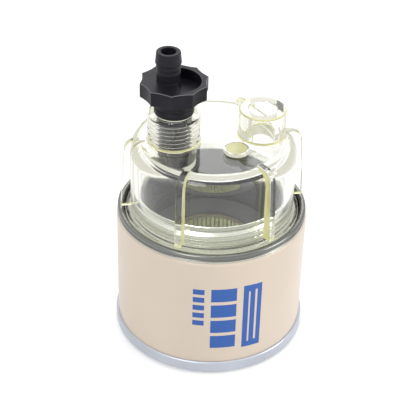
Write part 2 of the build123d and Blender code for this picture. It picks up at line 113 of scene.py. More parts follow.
class SeparatorColours(bpy.types.PropertyGroup):
    """Colours of the finishes."""
    can_paint: bpy.props.FloatVectorProperty(
        name="Can paint", description="Satin paint on the can",
        default=(0.72, 0.61, 0.50), min=0.0, max=1.0, subtype="COLOR")
    print_ink: bpy.props.FloatVectorProperty(
        name="Print ink", description="Ink of the plain fields printed on the can",
        default=(0.012, 0.10, 0.41), min=0.0, max=1.0, subtype="COLOR")
    seam_zinc: bpy.props.FloatVectorProperty(
        name="Seam zinc", description="Plated seam ring at the mounting end",
        default=(0.49, 0.52, 0.58), min=0.0, max=1.0, subtype="COLOR")
    # The collar's zinc is painted dark, a painted reflection of dark surroundings
    collar_zinc: bpy.props.FloatVectorProperty(
        name="Collar zinc", description="Plated collar round the bowl",
        default=(0.20, 0.205, 0.19), min=0.0, max=1.0, subtype="COLOR")
    clear_tint: bpy.props.FloatVectorProperty(
        name="Clear plastic tint", description="Colour that the clear plastic lets through",
        default=(0.88, 0.885, 0.77), min=0.0, max=1.0, subtype="COLOR")
    # Yellow on the clear plastic's narrow faces, a painted glow of light gathered inside
    edge_glow_colour: bpy.props.FloatVectorProperty(
        name="Edge tint", description="Colour that glows in the clear plastic's narrow faces",
        default=(0.92, 0.88, 0.44), min=0.0, max=1.0, subtype="COLOR")
    valve_black: bpy.props.FloatVectorProperty(
        name="Valve black", description="Moulded black plastic of the drain valve",
        default=(0.0105, 0.0105, 0.015), min=0.0, max=1.0, subtype="COLOR")
    media_green: bpy.props.FloatVectorProperty(
        name="Filter paper", description="Coated pleated filter paper",
        default=(0.62, 0.64, 0.36), min=0.0, max=1.0, subtype="COLOR")


# Node helpers

class Nodes:
    """Short way to add and join nodes in one node tree."""

    def __init__(self, tree):
        self.tree = tree

    def add(self, kind, inputs=None, **settings):
        """New node with its settings, and with inputs that are values or sockets to join."""
        node = self.tree.nodes.new(kind)
        for name, value in settings.items():
            setattr(node, name, value)
        for key, value in (inputs or {}).items():
            socket = node.inputs[key]
            if isinstance(value, bpy.types.NodeSocket):
                self.tree.links.new(value, socket)
            else:
                socket.default_value = value
        return node

    def math(self, operation, *values):
        """Result of a Math node."""
        return self.add("ShaderNodeMath", dict(enumerate(values)), operation=operation).outputs[0]

    def split(self, vector):
        """The three coordinates of a vector."""
        return tuple(self.add("ShaderNodeSeparateXYZ", {0: vector}).outputs)

    def noise(self, place, scale, detail):
        """Value of a Noise texture at a place."""
        node = self.add("ShaderNodeTexNoise", {"Vector": place, "Scale": scale, "Detail": detail})
        return node.outputs["Fac"]

    def radius(self, x, y):
        """Distance from an axis, out of two coordinates."""
        squares = [self.math("MULTIPLY", value, value) for value in (x, y)]
        return self.math("SQRT", self.math("ADD", *squares))

    def ramp(self, value, low, high, start=0.0, end=1.0):
        """A value mapped smoothly from low..high to start..end."""
        node = self.add("ShaderNodeMapRange", {0: value, 1: low, 2: high, 3: start, 4: end},
                        interpolation_type="SMOOTHSTEP")
        return node.outputs[0]

    def mix(self, factor, colour_a, colour_b):
        """Two colours mixed by a factor."""
        node = self.tree.nodes.new("ShaderNodeMix")
        node.data_type = "RGBA"
        factor_slot, slot_a, slot_b, result_slot = 0, 6, 7, 2
        for index, value in ((factor_slot, factor), (slot_a, colour_a), (slot_b, colour_b)):
            if isinstance(value, bpy.types.NodeSocket):
                self.tree.links.new(value, node.inputs[index])
            else:
                node.inputs[index].default_value = value if index == factor_slot else (*value, 1.0)
        return node.outputs[result_slot]


def shader_group(name, inputs, outputs):
    """Empty shader node group with a Vector input, float inputs with defaults and float outputs."""
    group = bpy.data.node_groups.new(name, "ShaderNodeTree")
    group.interface.new_socket("Vector", in_out="INPUT", socket_type="NodeSocketVector")
    for label, value in inputs.items():
        socket = group.interface.new_socket(label, in_out="INPUT", socket_type="NodeSocketFloat")
        socket.default_value = value
    for label in outputs:
        group.interface.new_socket(label, in_out="OUTPUT", socket_type="NodeSocketFloat")
    return group


def group_ends(group):
    """Node helper, input node and output node of a group."""
    nodes = Nodes(group)
    return nodes, nodes.add("NodeGroupInput"), nodes.add("NodeGroupOutput")


def make_grain_group():
    """Fine moulded or sprayed grain: a slow tone change and a small height."""
    group = shader_group("surface_grain", {"Grain Scale": 1500.0, "Cloud Scale": 60.0, "Detail": 3.0},
                         ["Tone", "Height"])
    nodes, start, end = group_ends(group)
    place, grain_scale, cloud_scale, detail = start.outputs[:4]
    group.links.new(nodes.noise(place, cloud_scale, 2.0), end.inputs["Tone"])
    group.links.new(nodes.noise(place, grain_scale, detail), end.inputs["Height"])


def make_turned_group():
    """Marks that run round the axis, as rolling or turning leaves them."""
    group = shader_group("turned_marks", {"Line Scale": 4000.0}, ["Tone", "Height"])
    nodes, start, end = group_ends(group)
    place, line_scale = start.outputs[:2]
    x, y, z = nodes.split(place)
    drift = nodes.math("MULTIPLY", nodes.math("ARCTAN2", y, x), MARK_DRIFT)
    lines = nodes.add("ShaderNodeCombineXYZ", {0: nodes.radius(x, y), 1: z, 2: drift})
    group.links.new(nodes.noise(place, 45.0, 3.0), end.inputs["Tone"])
    group.links.new(nodes.noise(lines.outputs[0], line_scale, 2.0), end.inputs["Height"])


def make_field_group():
    """Mask of one printed field on the can, between two angles and two heights, with a slant."""
    group = shader_group("printed_field", {"Angle": 0.0, "Half Width": 0.1, "Height": 0.02,
                                           "Half Height": 0.01, "Slant": 0.0}, ["Mask"])
    nodes, start, end = group_ends(group)
    x, y, z = nodes.split(start.outputs[0])
    side = nodes.math("SUBTRACT", nodes.math("ARCTAN2", y, x), start.outputs["Angle"])
    rise = nodes.math("SUBTRACT", z, start.outputs["Height"])
    rise = nodes.math("SUBTRACT", rise, nodes.math("MULTIPLY", side, start.outputs["Slant"]))
    edge = nodes.math("SUBTRACT", nodes.noise(start.outputs[0], 2500.0, 1.0), 0.5)
    ragged = nodes.math("MULTIPLY", edge, PRINT_RAGGEDNESS)
    across = nodes.math("SUBTRACT", start.outputs["Half Width"], nodes.math("ABSOLUTE", side))
    along = nodes.math("SUBTRACT", start.outputs["Half Height"], nodes.math("ABSOLUTE", rise))
    reach = nodes.math("MINIMUM", nodes.math("MULTIPLY", across, CAN_RADIUS), along)
    mask = nodes.ramp(nodes.math("ADD", reach, ragged), -PRINT_SOFTNESS, PRINT_SOFTNESS)
    group.links.new(mask, end.inputs["Mask"])


# Materials

class Finish:
    """A material under construction: its nodes, its Principled shader and its object coordinates."""

    def __init__(self, name, colour, roughness, metallic=0.0):
        self.material = bpy.data.materials.new(name)
        self.material.use_nodes = True
        self.material.diffuse_color = (*colour, 1.0)
        self.tree = self.material.node_tree
        self.nodes = Nodes(self.tree)
        self.shader = self.tree.nodes["Principled BSDF"]
        self.output = self.tree.nodes["Material Output"]
        self.shader.inputs["Base Color"].default_value = (*colour, 1.0)
        self.shader.inputs["Roughness"].default_value = roughness
        self.shader.inputs["Metallic"].default_value = metallic
        self.place = self.nodes.add("ShaderNodeTexCoord").outputs["Object"]

    def set(self, key, value):
        """Join or set one input of the Principled shader."""
        if isinstance(value, bpy.types.NodeSocket):
            self.tree.links.new(value, self.shader.inputs[key])
        else:
            self.shader.inputs[key].default_value = value

    def base_colour(self):
        """Socket that feeds the Base Color so far."""
        return self.shader.inputs["Base Color"].links[0].from_socket

    def use(self, group, **values):
        """Place a shader group and set its inputs; underscores stand for spaces."""
        node = self.nodes.add("ShaderNodeGroup", node_tree=bpy.data.node_groups[group])
        self.tree.links.new(self.place, node.inputs["Vector"])
        for key, value in values.items():
            node.inputs[key.replace("_", " ")].default_value = value
        return node

    def bump(self, height, strength, distance):
        """Feed a height to the shader's normal through a Bump node."""
        node = self.nodes.add("ShaderNodeBump", {"Height": height, "Strength": strength,
                                                 "Distance": distance})
        self.set("Normal", node.outputs["Normal"])


def shade(colour, factor):
    """A colour made lighter or darker by a factor."""
    return tuple(min(1.0, channel * factor) for channel in colour)


def grained_finish(name, colour, roughness, spread=0.12, scale=1500.0, cloud=60.0, strength=0.15,
                   distance=0.00005, metallic=0.0, group="surface_grain"):
    """Plain finish with slow tone changes and a fine bump."""
    finish = Finish(name, colour, roughness, metallic)
    if group == "surface_grain":
        marks = finish.use(group, Grain_Scale=scale, Cloud_Scale=cloud)
    else:
        marks = finish.use(group, Line_Scale=scale)
    tone = finish.nodes.ramp(marks.outputs["Tone"], 0.3, 0.7)
    dark, light = shade(colour, 1 - spread), shade(colour, 1 + spread)
    finish.set("Base Color", finish.nodes.mix(tone, dark, light))
    rough = finish.nodes.ramp(marks.outputs["Height"], 0.2, 0.8, roughness * 0.88, roughness * 1.12)
    finish.set("Roughness", rough)
    finish.bump(marks.outputs["Height"], strength, distance)
    return finish


def field_mask(finish, fields):
    """Mask of several printed fields together."""
    whole = None
    for angle, half_width, height, half_height, slant in fields:
        field = finish.use("printed_field", Angle=radians(angle), Half_Width=radians(half_width),
                           Height=height * MM, Half_Height=half_height * MM, Slant=slant)
        mask = field.outputs["Mask"]
        whole = mask if whole is None else finish.nodes.math("MAXIMUM", whole, mask)
    return whole


def paint_finish(colours):
    """Satin can paint with the plain printed fields on it."""
    colour = tuple(colours.can_paint)
    finish = grained_finish("can_paint", colour, 0.34, spread=0.02, scale=900.0, cloud=25.0,
                            strength=0.06, distance=0.00004)
    nodes = finish.nodes
    bare = nodes.math("SUBTRACT", 1.0, field_mask(finish, PRINTED_GAPS))
    ink = nodes.math("MULTIPLY", field_mask(finish, PRINTED_FIELDS), bare)
    finish.set("Base Color", nodes.mix(ink, finish.base_colour(), tuple(colours.print_ink)))
    finish.set("Coat Weight", 0.12)
    finish.set("Coat Roughness", 0.25)
    return finish


def collar_finish(colours):
    """Plated sheet of the collar, painted dark as a reflection of dark surroundings.

    Lighter from its groove inwards, with a painted highlight at the bead's foot, and painted shade
    in black between groove and bead and in dark grey, not metal, on the neck's inner wall.
    """
    finish = grained_finish(
        "collar_zinc", tuple(colours.collar_zinc), 0.26, spread=0.10, scale=3200.0, strength=0.10,
        distance=0.00003, metallic=1.0, group="turned_marks")
    nodes = finish.nodes
    x, y, z = nodes.split(finish.place)
    radius = nodes.radius(x, y)
    outside = nodes.ramp(radius, 28.45 * MM, 28.75 * MM)
    above_foot = nodes.ramp(z, 57.95 * MM, 58.35 * MM)
    past_gap = nodes.ramp(radius, 37.3 * MM, 37.9 * MM)
    past_groove = nodes.ramp(radius, 36.6 * MM, 37.0 * MM)
    # The lighter band at the bead's foot is a painted highlight
    plated = nodes.mix(above_foot, shade(colours.collar_zinc, BEAD_FOOT_HIGHLIGHT), finish.base_colour())
    # Black between groove and bead is painted shade
    plated = nodes.mix(past_gap, GAP_SHADE_BLACK, plated)
    plated = nodes.mix(past_groove, shade(colours.collar_zinc, GROOVE_SHADE), plated)
    # Dark grey, not metal, on the neck's inner wall is painted shade
    finish.set("Base Color", nodes.mix(outside, NECK_SHADE_GREY, plated))
    finish.set("Metallic", outside)
    return finish


def clear_finish(colours):
    """Clear moulded plastic: refraction, with a tint that grows with the thickness crossed."""
    finish = Finish("clear_plastic", (1.0, 1.0, 1.0), 0.03)
    finish.set("IOR", CLEAR_IOR)
    finish.set("Transmission Weight", 1.0)
    grain = finish.use("surface_grain", Grain_Scale=220.0, Cloud_Scale=40.0)
    finish.set("Roughness", finish.nodes.ramp(grain.outputs["Tone"], 0.3, 0.7, 0.01, 0.04))
    let_light_through(finish, colours)
    return finish


def edge_glow_finish(colours):
    """Narrow faces of the clear plastic, with a painted yellow glow of light gathered inside."""
    finish = Finish("clear_edge", tuple(colours.edge_glow_colour), 0.2)
    finish.set("IOR", CLEAR_IOR)
    finish.set("Transmission Weight", 0.4)
    grain = finish.use("surface_grain", Grain_Scale=700.0, Cloud_Scale=90.0)
    tone = finish.nodes.ramp(grain.outputs["Tone"], 0.3, 0.7)
    dull, bright = shade(colours.edge_glow_colour, 0.92), shade(colours.edge_glow_colour, 1.12)
    finish.set("Base Color", finish.nodes.mix(tone, dull, bright))
    let_light_through(finish, colours)
    return finish


def let_light_through(finish, colours):
    """Give a clear finish thin shadows, the tint of its thickness and a painted glow from inside it."""
    nodes, tree = finish.nodes, finish.tree
    light = nodes.add("ShaderNodeLightPath")
    # Painted glow: an emission on rays that mirror or cross surfaces often, for light caught inside
    glow = nodes.add("ShaderNodeEmission", {"Color": GLOW_COLOUR, "Strength": GLOW_STRENGTH})
    mirrored = nodes.math("GREATER_THAN", light.outputs["Glossy Depth"], GLOW_MIRRORINGS)
    deep = nodes.math("GREATER_THAN", light.outputs["Ray Depth"], GLOW_SURFACES)
    caught = nodes.math("MAXIMUM", mirrored, deep)
    glass = nodes.add("ShaderNodeMixShader", {0: caught, 1: finish.shader.outputs[0],
                                              2: glow.outputs[0]})
    through = nodes.add("ShaderNodeBsdfTransparent", {"Color": SHADOW_TINT})
    mixed = nodes.add("ShaderNodeMixShader", {0: light.outputs["Is Shadow Ray"],
                                              1: glass.outputs[0], 2: through.outputs[0]})
    tree.links.new(mixed.outputs[0], finish.output.inputs["Surface"])
    absorb = nodes.add("ShaderNodeVolumeAbsorption", {"Color": (*colours.clear_tint, 1.0),
                                                      "Density": TINT_DENSITY})
    tree.links.new(absorb.outputs[0], finish.output.inputs["Volume"])


def black_finish(colours):
    """Moulded black plastic with a fine grain and a painted highlight along the knob's top edges."""
    finish = grained_finish(
        "valve_black", tuple(colours.valve_black), 0.42, spread=0.25, scale=1800.0, cloud=90.0,
        strength=0.22, distance=0.00006)
    finish.set("Specular IOR Level", 0.19)
    nodes = finish.nodes
    x, y, z = nodes.split(finish.place)
    across = nodes.math("SUBTRACT", x, BARB_X * MM)
    clear_of_barb = nodes.ramp(nodes.radius(across, y), 5.2 * MM, 5.5 * MM)
    above_side = nodes.ramp(z, (KNOB_TOP - 0.34) * MM, (KNOB_TOP - 0.24) * MM)
    below_face = nodes.ramp(z, (KNOB_TOP - 0.08) * MM, (KNOB_TOP - 0.01) * MM, 1.0, 0.0)
    band = nodes.math("MULTIPLY", above_side, below_face)
    edge_highlight = nodes.math("MULTIPLY", band, clear_of_barb)
    # Painted highlight: a lighter grey band along the knob's top edges, clear of the barb
    finish.set("Base Color", nodes.mix(edge_highlight, finish.base_colour(), EDGE_HIGHLIGHT_GREY))
    return finish


def make_finishes(colours):
    """Every finish, by the record's slot or a name of its own."""
    make_grain_group()
    make_turned_group()
    make_field_group()
    finishes = {
        "beige_paint": paint_finish(colours),
        "seam_zinc": grained_finish(
            "seam_zinc", tuple(colours.seam_zinc), 0.36, spread=0.05, scale=2600.0, strength=0.08,
            distance=0.00003, metallic=0.85, group="turned_marks"),
        "collar_zinc": collar_finish(colours),
        "steel": grained_finish(
            "plate_steel", (0.46, 0.46, 0.45), 0.38, spread=0.10, scale=2200.0, strength=0.2,
            distance=0.00004, metallic=1.0, group="turned_marks"),
        "rubber_black": grained_finish(
            "seal_rubber", (0.018, 0.018, 0.018), 0.62, spread=0.2, scale=1300.0, strength=0.25,
            distance=0.00006),
        "clear_plastic": clear_finish(colours),
        "clear_edge": edge_glow_finish(colours),
        "black_plastic": black_finish(colours),
        "dark_plastic": grained_finish("cap_grey", (0.085, 0.09, 0.095), 0.45, scale=1600.0),
        "resin": grained_finish("potting_resin", (0.30, 0.27, 0.16), 0.3, spread=0.15, scale=500.0),
        "filter_paper": grained_finish(
            "filter_paper", tuple(colours.media_green), 0.8, spread=0.18, scale=2600.0, cloud=400.0,
            strength=0.5, distance=0.0001),
    }
    return {name: finish.material for name, finish in finishes.items()}


# CAD nodes that get each finish
FINISHED_NODES = {
    "rubber_black": ("mounting_gasket", "bowl_gasket", "drain_face_seal", "drain_side_seal",
                     "element_grommet", "cap_seal"),
    "seam_zinc": ("seam_lid",),
    "steel": ("base_plate", "outer_sleeve"),
    "beige_paint": ("can_shell",),
    "dark_plastic": ("mount_end_cap", "bowl_end_cap"),
    "resin": ("mount_potting", "bowl_potting"),
    "filter_paper": ("pleated_media",),
}

# Printed fields on the can: angle, half width in degrees, height, half height in mm, slant in m/rad
PRINTED_FIELDS = [(-73.3, 6.0, 28.8, 16.2, -0.002)]
PRINTED_FIELDS += [(-91.0, 7.6, height, 3.25, 0.0) for height in (41.55, 33.45, 25.35, 17.25)]
PRINTED_FIELDS += [(-105.9, 3.4, height, 1.3, 0.0) for height in (43.2, 39.2, 35.2, 31.2, 27.2)]
PRINTED_GAPS = [
    (-71.0, 0.7, 29.0, 13.2, -0.002),
    (-75.4, 0.5, 28.6, 13.2, -0.002),
]


# Mesh helpers

def new_object(name, data):
    """New object with its data, linked to the scene."""
    thing = bpy.data.objects.new(name, data)
    bpy.context.scene.collection.objects.link(thing)
    return thing


def mesh_object(name, points, faces, closed=True):
    """Object with a mesh of points in millimetres, with doubles merged and normals outwards."""
    mesh = bpy.data.meshes.new(name)
    mesh.from_pydata([(x * MM, y * MM, z * MM) for x, y, z in points], [], faces)
    work = bmesh.new()
    work.from_mesh(mesh)
    bmesh.ops.remove_doubles(work, verts=work.verts, dist=1e-7)
    bmesh.ops.dissolve_degenerate(work, edges=work.edges, dist=1e-8)
    if closed:
        bmesh.ops.recalc_face_normals(work, faces=work.faces)
    work.to_mesh(mesh)
    work.free()
    return new_object(name, mesh)


def arc(centre, radius, start, end, steps):
    """Points of an arc in a profile, from one angle to another in degrees."""
    return [(centre[0] + radius * cos(radians(start + (end - start) * i / steps)),
             centre[1] + radius * sin(radians(start + (end - start) * i / steps)))
            for i in range(steps + 1)]


def thread_rows(thread, facets):
    """Rows of (radius, height) points that follow a right-hand thread round a shaft or a bore.

    The thread runs from a low to a high mark and fades at both ends into the rest radius.
    """
    root, crest, pitch, low, high, rest = thread
    ridge = ((0.0, crest), (0.14, crest), (0.5, root), (0.64, root))
    rows = []
    for turn in range(-2, int((high - low) / pitch) + 3):
        for share, radius in ridge:
            row = []
            for i in range(facets + 1):
                height = low + pitch * (turn + share + i / facets)
                from_end = min(height - low, high - height)
                fade = min(1.0, max(0.0, 2 * from_end / pitch))
                row.append((rest + (radius - rest) * fade, min(high, max(low, height))))
            rows.append(row)
    return rows


def turned_solid(name, below, above=(), thread=None, facets=96, axis=(0.0, 0.0), ring=False):
    """Closed solid of revolution about a vertical axis, with a thread between its two profiles.

    The profiles start and end on the axis, or close on themselves where the solid is a ring.
    """
    rows = [[point] * (facets + 1) for point in below]
    if thread:
        rows += thread_rows(thread, facets)
    rows += [[point] * (facets + 1) for point in above]
    if ring:
        rows.append(rows[0])
    points, faces = [], []
    for row in rows:
        for i, (radius, height) in enumerate(row):
            turn = 2 * pi * (i % facets) / facets
            points.append((axis[0] + radius * cos(turn), axis[1] + radius * sin(turn), height))
    span = facets + 1
    for r in range(len(rows) - 1):
        for i in range(facets):
            a, b = r * span + i, (r + 1) * span + i
            faces.append((a, a + 1, b + 1, b))
    return mesh_object(name, points, faces)


def stacked_faces(count, levels):
    """Side faces between stacked rings of points, and a flat face at each end."""
    faces = []
    for level in range(levels - 1):
        for i in range(count):
            a, b = level * count + i, level * count + (i + 1) % count
            faces.append((a, b, b + count, a + count))
    return faces + [tuple(range(count)), tuple(range((levels - 1) * count, levels * count))]


def prism(name, outline, levels):
    """Closed solid of an outline in the plan, at several heights with an inset for each."""
    points = []
    for inset, height in levels:
        for x, y in outline:
            reach = hypot(x, y)
            scale = (reach - inset) / reach
            points.append((x * scale, y * scale, height))
    return mesh_object(name, points, stacked_faces(len(outline), len(levels)))


def shift(thing, x, y):
    """Move a helper solid's mesh by millimetres in the plan."""
    thing.data.transform(Matrix.Translation((x * MM, y * MM, 0.0)))
    return thing


def rounded_rib(name, outline, half_thickness, edge):
    """Rib of an outline in the XZ plane, with its long edges rounded by a small flat."""
    points = []
    count = len(outline)
    middle_x = sum(p[0] for p in outline) / count
    middle_z = sum(p[1] for p in outline) / count

    def pulled(x, z, amount):
        length = hypot(x - middle_x, z - middle_z)
        share = (length - amount) / length
        return middle_x + (x - middle_x) * share, middle_z + (z - middle_z) * share

    layers = [(-half_thickness, edge), (-half_thickness + edge * 0.3, edge * 0.3),
              (-half_thickness + edge, 0.0), (half_thickness - edge, 0.0),
              (half_thickness - edge * 0.3, edge * 0.3), (half_thickness, edge)]
    for side, amount in layers:
        for x, z in outline:
            px, pz = pulled(x, z, amount)
            points.append((px, side, pz))
    return mesh_object(name, points, stacked_faces(count, len(layers)))


# How near the edges of repeated forms have to be, in metres, to be joined
SEAM_WELD = 0.000002


def moulding_tree(name):
    """Geometry tree of a moulding: a core, a form repeated round an axis, and added and cut solids."""
    tree = bpy.data.node_groups.new(name, "GeometryNodeTree")
    face = tree.interface
    face.new_socket("Core", in_out="INPUT", socket_type="NodeSocketGeometry")
    for label, kind in (("Repeated", "NodeSocketObject"), ("Count", "NodeSocketInt"),
                        ("Axis", "NodeSocketVector"), ("Added First", "NodeSocketObject"),
                        ("Cut First", "NodeSocketObject"), ("Added Last", "NodeSocketObject"),
                        ("Cut Last", "NodeSocketObject"), ("Material", "NodeSocketMaterial")):
        face.new_socket(label, in_out="INPUT", socket_type=kind)
    face.new_socket("Geometry", in_out="OUTPUT", socket_type="NodeSocketGeometry")
    nodes = Nodes(tree)
    start, end = nodes.add("NodeGroupInput"), nodes.add("NodeGroupOutput")

    def solid(label):
        return nodes.add("GeometryNodeObjectInfo", {"Object": start.outputs[label]},
                         transform_space="ORIGINAL").outputs["Geometry"]

    def combine(operation, first, *others):
        node = nodes.add("GeometryNodeMeshBoolean", operation=operation, solver="EXACT")
        tree.links.new(first, node.inputs[0 if operation == "DIFFERENCE" else 1])
        for other in others:
            tree.links.new(other, node.inputs[1])
        return node.outputs[0]

    points = nodes.add("GeometryNodePoints", {"Count": start.outputs["Count"],
                                              "Position": start.outputs["Axis"]})
    step = nodes.math("DIVIDE", 2 * pi, start.outputs["Count"])
    index = nodes.add("GeometryNodeInputIndex")
    turn = nodes.add("ShaderNodeCombineXYZ", {2: nodes.math("MULTIPLY", index.outputs[0], step)})
    copies = nodes.add("GeometryNodeInstanceOnPoints", {
        "Points": points.outputs[0], "Instance": solid("Repeated"), "Rotation": turn.outputs[0]})
    placed = nodes.add("GeometryNodeRealizeInstances", {0: copies.outputs[0]})
    welded = nodes.add("GeometryNodeMergeByDistance", {"Geometry": placed.outputs[0],
                                                       "Distance": SEAM_WELD})
    whole = combine("UNION", start.outputs["Core"], welded.outputs[0], solid("Added First"))
    whole = combine("DIFFERENCE", whole, solid("Cut First"))
    whole = combine("UNION", whole, solid("Added Last"))
    whole = combine("DIFFERENCE", whole, solid("Cut Last"))
    realised = nodes.add("GeometryNodeRealizeInstances", {0: whole})
    dressed = nodes.add("GeometryNodeSetMaterial", {"Geometry": realised.outputs[0],
                                                    "Material": start.outputs["Material"]})
    tree.links.new(dressed.outputs[0], end.inputs[0])
    return tree


def join(name, things):
    """One helper object from several closed solids."""
    work = bmesh.new()
    for thing in things:
        work.from_mesh(thing.data)
        bpy.data.objects.remove(thing)
    mesh = bpy.data.meshes.new(name)
    work.to_mesh(mesh)
    work.free()
    return new_object(name, mesh)


def evaluated_mesh(thing):
    """New mesh of an object as its modifiers leave it."""
    bpy.context.view_layer.update()
    graph = bpy.context.evaluated_depsgraph_get()
    return bpy.data.meshes.new_from_object(thing.evaluated_get(graph))


def run_tree(core, tree, values):
    """Plain mesh object from a core run through a geometry tree; the helpers are removed."""
    modifier = core.modifiers.new("moulding", "NODES")
    modifier.node_group = tree
    for item in tree.interface.items_tree:
        if item.item_type == "SOCKET" and item.in_out == "INPUT" and item.name in values:
            modifier[item.identifier] = values[item.name]
    mesh = evaluated_mesh(core)
    if not mesh.polygons:
        raise RuntimeError(f"the moulding of {core.name} came out empty")
    core.modifiers.remove(modifier)
    core.data = mesh
    for value in values.values():
        if isinstance(value, bpy.types.Object):
            bpy.data.objects.remove(value)
    return core


# Degrees of bend from which an edge stays sharp, in general and on the bowl
SHARP_ANGLE = 32.0
BOWL_SHARP_ANGLE = 24.0


def smooth_faces(thing, angle=SHARP_ANGLE):
    """Smooth shading that keeps edges sharper than an angle sharp and lets large faces stay flat."""
    work = bmesh.new()
    work.from_mesh(thing.data)
    bmesh.ops.remove_doubles(work, verts=work.verts, dist=2e-7)
    bmesh.ops.dissolve_degenerate(work, edges=work.edges, dist=1e-7)
    for face in work.faces:
        face.smooth = True
    for edge in work.edges:
        edge.smooth = len(edge.link_faces) == 2 and edge.calc_face_angle(0.0) < radians(angle)
    work.to_mesh(thing.data)
    work.free()
    weights = thing.modifiers.new("weights", "WEIGHTED_NORMAL")
    weights.mode = "FACE_AREA"
    weights.weight = 80
    weights.keep_sharp = True
    mesh = evaluated_mesh(thing)
    thing.modifiers.remove(weights)
    thing.data = mesh


def dress(thing, name, body, node):
    """Name a finished piece, set it on its body and let it stand for its CAD node."""
    thing.name = name
    thing.data.name = name
    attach(thing, body)
    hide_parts(node)


# Pieces

# Axes of the drain, the barb, the sensor port and the pad
DRAIN_X = -16.4
BARB_X = -18.75
SENSOR_X = 19.8
PAD_PLACE = (7.2, -12.47)

# Radii of the two screw threads
NECK_THREAD = 30.5
DRAIN_THREAD = 7.5

# Heights of the collar and the bowl
NECK_HEM = 46.0
FLANGE_FOOT = 57.8
BOSS_ROOT = 91.2
BOWL_TOP = 92.7

# Radius and top of each boss, and how far its foot and its rim are eased
DRAIN_BOSS = (10.8, 105.4)
SENSOR_BOSS = (9.7, 104.4)
BOSS_EASE = 0.6

# Heights, radii and lobes of the knob, and the radius and front edge of its pocket
KNOB_FOOT = 113.3
KNOB_TOP = 119.6
KNOB_CUSP = 13.9
KNOB_HOLLOW = 12.7
KNOB_LOBES = 10
KNOB_TURN = 5.6
POCKET_RADIUS = 10.8
POCKET_EDGE = 1.0
POCKET_FLOOR = 114.6
BARB_TOP = 132.2


class SEPARATOR_OT_finishes(bpy.types.Operator):
    """Give every carried-over CAD node its finish"""
    bl_idname = "separator.finishes"
    bl_label = "Finishes"

    def execute(self, context):
        scene = context.scene
        materials = make_finishes(scene.separator_colours)
        for slot, material in materials.items():
            material["finish_slot"] = slot
        for slot, nodes in FINISHED_NODES.items():
            for node in nodes:
                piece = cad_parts[node]
                piece.data.materials.clear()
                piece.data.materials.append(materials[slot])
        return {"FINISHED"}


def finish_of(slot):
    """Material made for a slot."""
    return next(m for m in bpy.data.materials if m.get("finish_slot") == slot)


class SEPARATOR_OT_collar(bpy.types.Operator):
    """Roll the plated collar with its bead, its gasket groove and its threaded neck"""
    bl_idname = "separator.collar"
    bl_label = "Bowl collar"

    def execute(self, context):
        sizes = context.scene.separator_sizes
        pitch, depth = sizes.neck_pitch / MM, sizes.neck_depth / MM
        crest = NECK_THREAD - sizes.thread_gap / MM
        collar = turned_solid(
            "collar",
            [(38.85, 57.45), (39.35, 57.45)] + arc((39.0, 58.05), 0.6, -60, 62, 6)
            + arc((38.5, 59.8), 1.1, -38, 90, 10)
            + arc((38.25, 59.75), 1.15, 90, 180, 8) + arc((36.3, 56.8), 0.8, 0, -90, 6)
            + [(30.2, 56.0), (29.65, 56.15), (29.4, 56.6), (crest - depth, 57.6)],
            [(crest - depth, 66.7), (29.45, 67.3), (30.15, 68.6), (30.4, 69.1), (30.42, 69.38),
             (30.25, 69.58), (30.0, 69.55), (29.72, 69.2), (28.8, 67.6), (28.45, 67.0), (28.4, 66.5),
             (28.4, 46.1), (28.5, NECK_HEM), (29.9, NECK_HEM), (30.0, 46.1), (30.0, 55.2), (37.2, 55.2)]
            + arc((37.2, 55.9), 0.7, -90, 0, 4)
            + [(37.9, 60.1), (38.8, 60.1), (38.8, 57.5)],
            (crest - depth, crest, pitch, 58.2, 66.2, crest - depth), sizes.facets, ring=True)
        collar.data.materials.append(finish_of("collar_zinc"))
        smooth_faces(collar)
        dress(collar, "rolled_collar", "can", "bowl_collar")
        seal = turned_solid(
            "seal", [(28.5, 43.95), (28.65, 43.8), (30.15, 43.8), (30.3, 43.95), (30.3, 45.85),
                     (30.15, NECK_HEM), (28.65, NECK_HEM), (28.5, 45.85)], facets=120, ring=True)
        seal.data.materials.append(finish_of("rubber_black"))
        smooth_faces(seal)
        dress(seal, "neck_seal", "can", "cap_seal")
        return {"FINISHED"}


